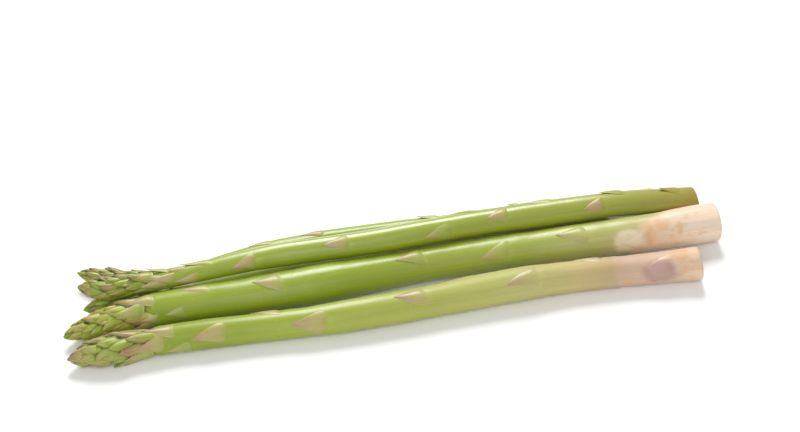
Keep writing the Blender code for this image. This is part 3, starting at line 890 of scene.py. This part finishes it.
SPEARS = (
    Spear(
        node="spear_front", tip=-110.6, cut=101.6,
        route=(
            (-110.6, -17.3), (-98, -16.2), (-84, -14.9), (-72, -14.5), (-45, -15.1), (-12, -15.2),
            (25, -12.7), (62, -11.2), (101.6, -13.7)),
        stem=(
            (-110.6, 5.1), (-95, 5.0), (-84, 4.75), (-38, 4.8), (-12, 5.3), (18, 5.33), (40, 5.62),
            (66, 5.1), (84, 5.15), (101.6, 6.0)),
        tip_rise=-1.0, cut_slant=0.4, first_turn=20.0, nose=18.0,
        leaves=(
            Leaf(-74.8, 9, 10.7, 2.8, 0.8), Leaf(-79.0, 63, 9.5, 3.0, 0.8), Leaf(-70.0, 102, 9.0, 2.8, 0.2),
            Leaf(-58.3, 49, 12.6, 3.8, 0.75), Leaf(-39.9, -38, 10.5, 3.0, 0.8),
            Leaf(-25.4, 60, 12.8, 4.1, 0.75), Leaf(7.6, 19, 11.0, 3.6, 0.8), Leaf(46.3, 27, 12.2, 3.9, 0.6),
            Leaf(91.9, 52, 11.5, 4.2, 0.5, -0.6)),
        colours=SpearColours(
            stops=(
                (0.0, srgb(132, 148, 32)), (0.22, srgb(132, 149, 32)), (0.34, srgb(144, 159, 42)),
                (0.52, srgb(158, 165, 70)), (0.70, srgb(176, 174, 104)), (0.80, srgb(184, 169, 116)),
                (0.855, srgb(180, 158, 118)), (0.87, srgb(192, 162, 144)), (0.93, srgb(198, 170, 150)),
                (1.0, srgb(214, 188, 164))),
            stain=srgb(206, 162, 118), stain_from=0.88, blush=srgb(172, 136, 126), flesh=srgb(214, 214, 160),
            point=srgb(164, 122, 102), head=(srgb(146, 160, 46), srgb(160, 150, 80)),
            head_point=srgb(148, 114, 88), wax_to=0.52, gloss=0.30),
        patches=(
            Patch(87.0, 66, 6.5, 4.6), Patch(94.5, 4, 4.6, 3.8, "stain"), Patch(76.0, 96, 2.4, 2.2, "stain")),
        nodes=(73.0,),
        fine_leaves=(Leaf(-83.0, 98, 10.0, 2.6, 0.5, 0.5), Leaf(-86.0, 128, 9.0, 2.4, 0.7, 0.3)),
    ),
    Spear(
        node="spear_middle", tip=-111.0, cut=113.2,
        route=(
            (-111.0, -6.6), (-98.5, -3.3), (-88, -1.6), (-65, -0.8), (-40, -0.5), (-15, 1.3), (5, 3.4),
            (26, 4.6), (52, 4.9), (80, 4.5), (104, 4.9), (113.2, 5.3)),
        stem=(
            (-111, 4.7), (-98, 4.75), (-92, 5.2), (-86, 5.6), (-75, 5.8), (-60, 6.0), (-45, 6.3), (-30, 6.5),
            (-16, 6.3), (-6, 5.9), (5, 5.75), (22, 5.6), (60, 5.9), (92, 6.3), (104, 6.7), (113.2, 6.5)),
        tip_rise=-0.4, cut_slant=0.3, first_turn=75.0, nose=21.0,
        leaves=(
            Leaf(-79.9, 2, 9.0, 2.9, 0.8), Leaf(-69.6, 70, 8.0, 2.8, 0.1), Leaf(-61.3, -7, 10.4, 2.8, 0.6),
            Leaf(-37.6, 14, 10.2, 3.6, 0.7), Leaf(10.7, 11, 10.2, 3.2, 0.5), Leaf(39.5, 47, 10.3, 3.7, 0.35),
            Leaf(48.8, -24, 9.3, 3.0, 0.4), Leaf(67.4, 24, 11.5, 3.5, 0.45), Leaf(89.0, 76, 11.5, 4.2)),
        colours=SpearColours(
            stops=(
                (0.0, srgb(132, 150, 28)), (0.45, srgb(138, 155, 32)), (0.70, srgb(152, 163, 62)),
                (0.83, srgb(168, 170, 96)), (0.885, srgb(180, 172, 120)), (0.905, srgb(220, 194, 168)),
                (1.0, srgb(230, 208, 190))),
            lean=0.006, stain=srgb(214, 174, 128), stain_from=0.90, blush=srgb(222, 208, 176),
            flesh=srgb(222, 218, 172), point=srgb(172, 140, 112),
            head=(srgb(153, 166, 42), srgb(162, 154, 68)), head_point=srgb(146, 118, 74)),
        patches=(
            Patch(80.0, 66, 5.6, 4.4), Patch(87.5, 50, 3.0, 5.4, "stain"),
            Patch(92.2, 26, 3.4, 3.6, "stain"), Patch(98.3, 50, 1.5, 3.2, "stain")),
        fine_leaves=(
            Leaf(-81.5, 104, 8.0, 2.4, 0.9, 0.4), Leaf(-84.0, 38, 10.0, 2.8, 0.4, 0.4),
            Leaf(-79.0, 82, 7.0, 2.0, 0.7, 0.3)),
        head_count=38, longest=11.5, shortest=5.0,
    ),
    Spear(
        node="spear_top", tip=-104.4, cut=109.3,
        route=(
            (-104.4, 10.0), (-97, 6.9), (-88, 6.8), (-76, 6.9), (-60, 7.6), (-45, 9.2), (-25, 9.9),
            (-5, 10.4), (25, 12.7), (60, 13.9), (82, 14.6), (96, 15.8), (109.3, 17.2)),
        height=(
            (-104.4, 10.3), (-97, 10.7), (-88, 11.1), (-76, 11.4), (-60, 12.3), (-45, 12.8), (-25, 12.9),
            (-5, 12.9), (25, 12.7), (60, 12.3), (82, 11.5), (96, 9.2), (109.3, 6.9)),
        stem=(
            (-104.4, 4.0), (-94, 3.9), (-86, 3.3), (-76, 3.15), (-64, 3.1), (-46, 3.7), (-28, 4.1), (0, 4.2),
            (25, 4.4), (60, 4.5), (109.3, 4.5)),
        tip_rise=0.0, cut_slant=1.0, first_turn=130.0, nose=13.0,
        leaves=(
            Leaf(-75.9, 73, 8.5, 2.2, 0.7), Leaf(-74.0, -36, 8.0, 2.0, 0.4, 1.3),
            Leaf(-58.7, -30, 11.5, 2.4, 0.5, 0.8), Leaf(-45.3, 56, 9.0, 2.7, 0.8),
            Leaf(-13.5, 30, 9.4, 2.7, 0.7), Leaf(21.0, 62, 9.8, 3.0, 0.3), Leaf(41.3, 22, 8.0, 2.6, 0.7),
            Leaf(74.9, 41, 8.0, 2.6, 0.7), Leaf(82.7, -33, 9.0, 2.7, 0.4, 0.5),
            Leaf(103.0, -15, 8.6, 2.7, 0.8, 1.0)),
        colours=SpearColours(
            stops=(
                (0.0, srgb(132, 150, 30)), (0.45, srgb(142, 158, 36)), (0.75, srgb(146, 157, 42)),
                (0.92, srgb(152, 152, 62)), (1.0, srgb(156, 140, 58))),
            stain=srgb(158, 134, 66), stain_from=0.90, blush=srgb(178, 140, 118), flesh=srgb(190, 196, 120),
            point=srgb(176, 140, 122), head=(srgb(140, 156, 38), srgb(148, 144, 60)),
            head_point=srgb(136, 110, 70), wax_to=0.92, gloss=0.9),
        patches=(Patch(71.0, 44, 2.2, 1.6),),
        fine_leaves=(
            Leaf(-71.5, 52, 9.5, 2.1, 0.8, 0.2), Leaf(-64.5, 84, 9.0, 2.0, 0.8, 0.1),
            Leaf(-67.5, -4, 7.0, 1.7, 0.4, 0.4), Leaf(-79.0, 12, 9.0, 2.2, 0.6, 0.5),
            Leaf(46.0, -38, 4.0, 1.3, 0.7, 0.5)),
        head_count=38, longest=11.0, shortest=5.0,
    ),
    Spear(
        node="spear_back", tip=-104.0, cut=97.0,
        route=(
            (-104.0, 22.6), (-96.6, 20.0), (-87, 17.4), (-77, 15.9), (-67, 16.7), (-53, 20.3), (-40, 22.9),
            (-25, 24.5), (-5, 25.3), (20, 24.8), (40, 24.0), (62, 24.2), (97, 25.4)),
        stem=((-104, 3.5), (-92, 3.4), (-80, 3.1), (-66, 3.1), (-50, 3.3), (-20, 3.45), (97, 3.5)),
        tip_rise=2.0, cut_slant=0.3, first_turn=200.0, nose=13.0,
        leaves=(
            Leaf(-62.0, -40, 8.4, 2.4, 0.5, 0.5), Leaf(-37.0, -36, 8.4, 2.4), Leaf(-18.8, -22, 8.4, 2.5),
            Leaf(21.1, -34, 8.4, 2.5, 0.4, 0.8), Leaf(56.0, -20, 9.0, 2.6), Leaf(84.0, -44, 9.5, 2.8)),
        colours=SpearColours(
            stops=(
                (0.0, srgb(136, 155, 32)), (0.5, srgb(142, 160, 38)), (0.80, srgb(158, 166, 66)),
                (0.90, srgb(190, 180, 122)), (1.0, srgb(218, 194, 150))),
            stain=srgb(202, 168, 118), stain_from=0.90, blush=srgb(178, 110, 66), flesh=srgb(214, 212, 160),
            point=srgb(170, 120, 84), head=(srgb(144, 160, 42), srgb(152, 146, 62)),
            head_point=srgb(140, 112, 74)),
        patches=(Patch(-24.0, -20, 4.0, 1.8),),
    ),
    Spear(
        node="spear_inner", tip=-103.5, cut=78.0,
        route=(
            (-103.5, 4.8), (-98, 5.9), (-91, 8.0), (-80, 8.8), (-68, 9.1), (-47, 11.0), (-30, 11.6),
            (-5, 12.9), (25, 14.9), (55, 15.7), (78, 16.7)),
        stem=((-103.5, 3.5), (-94, 3.35), (-84, 3.1), (-66, 3.2), (-35, 3.55), (78, 3.55)), tip_rise=1.1,
        cut_slant=0.2, first_turn=310.0, nose=12.0,
        leaves=(Leaf(-66.0, 20, 8.6, 2.5), Leaf(-44.0, -60, 8.6, 2.5), Leaf(62.0, -30, 8.6, 2.5)),
        colours=SpearColours(
            stops=(
                (0.0, srgb(136, 158, 32)), (0.5, srgb(142, 160, 38)), (0.85, srgb(156, 166, 62)),
                (1.0, srgb(196, 186, 124))),
            stain=srgb(186, 168, 106), stain_from=0.92, blush=srgb(178, 140, 112), flesh=srgb(206, 208, 150),
            point=srgb(170, 132, 106), head=(srgb(150, 178, 44), srgb(152, 158, 58)),
            head_point=srgb(144, 124, 78)),
    ),
)


@dataclass
class Studio:
    """The pale floor, the soft lights and the camera at the photograph's viewing angle."""

    azimuth: float = -11.0
    elevation: float = 42.0
    lens: float = 100.0
    sensor: float = 36.0
    distance: float = 740.7
    target: tuple[float, float, float] = (0.0, 0.0, 6.0)
    aim_up: float = 19.7
    aim_right: float = 1.7
    floor_half: float = 3.0
    floor_drop: float = 0.0001
    dome: float = 0.42

    def build(self) -> None:
        """Make the floor, the lights and the camera."""
        self.build_floor()
        self.build_lights()
        self.build_camera()

    def build_floor(self) -> None:
        """A wide flat sheet just under the bunch."""
        side = np.linspace(-self.floor_half, self.floor_half, 9)
        x, y = np.meshgrid(side, side, indexing="ij")
        mesh = bpy.data.meshes.new("floor")
        points = np.stack([x, y, np.full_like(x, -self.floor_drop)], -1)
        mesh.from_pydata(points.reshape(-1, 3), [], Sheet(points).quads(0))
        floor = linked("floor", mesh)
        floor.data.materials.append(FloorFinish().material())

    def build_lights(self) -> None:
        """A dim dome, a light above and behind that rims the spears, and a larger one from the front."""
        world = bpy.data.worlds.new("dome")
        bpy.context.scene.world = world
        world.use_nodes = True
        background = world.node_tree.nodes["Background"]
        background.inputs["Color"].default_value = (1.0, 1.0, 1.0, 1.0)
        background.inputs["Strength"].default_value = self.dome
        for name, place, size, power in (
            ("back_light", (0.06, 0.60, 0.70), 0.42, 8.2),
            ("front_light", (-0.30, -0.74, 0.62), 0.9, 5.8),
        ):
            light = bpy.data.lights.new(name, "AREA")
            light.size, light.energy = size, power
            lamp = linked(name, light)
            lamp.location = place
            lamp.rotation_euler = Vector(place).to_track_quat("Z", "Y").to_euler()
        bpy.context.scene.view_settings.view_transform = "Standard"

    def build_camera(self) -> None:
        """The camera looks at a point up and right of the bunch's middle, as the photograph frames it."""
        a, e = math.radians(self.azimuth), math.radians(self.elevation)
        back = np.array([math.sin(a) * math.cos(e), -math.cos(a) * math.cos(e), math.sin(e)])
        right = np.array([math.cos(a), math.sin(a), 0.0])
        middle = np.array(self.target) - np.array([*MIDDLE, 0.0])
        place = middle + back * self.distance
        aim = middle + np.cross(right, -back) * self.aim_up + right * self.aim_right
        camera = linked("camera", bpy.data.cameras.new("camera"))
        camera.data.lens, camera.data.sensor_width = self.lens, self.sensor
        camera.data.clip_start = 0.01
        camera.location = Vector(place * MM)
        camera.rotation_euler = Vector(place - aim).to_track_quat("Z", "Y").to_euler()
        bpy.context.scene.camera = camera


def main() -> None:
    """Build the spears in order, then the floor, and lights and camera."""
    logging.basicConfig(level=logging.INFO, format="%(message)s")
    for spear in SPEARS:
        spear.build()
    Studio().build()


if __name__ == "__main__":
    main()
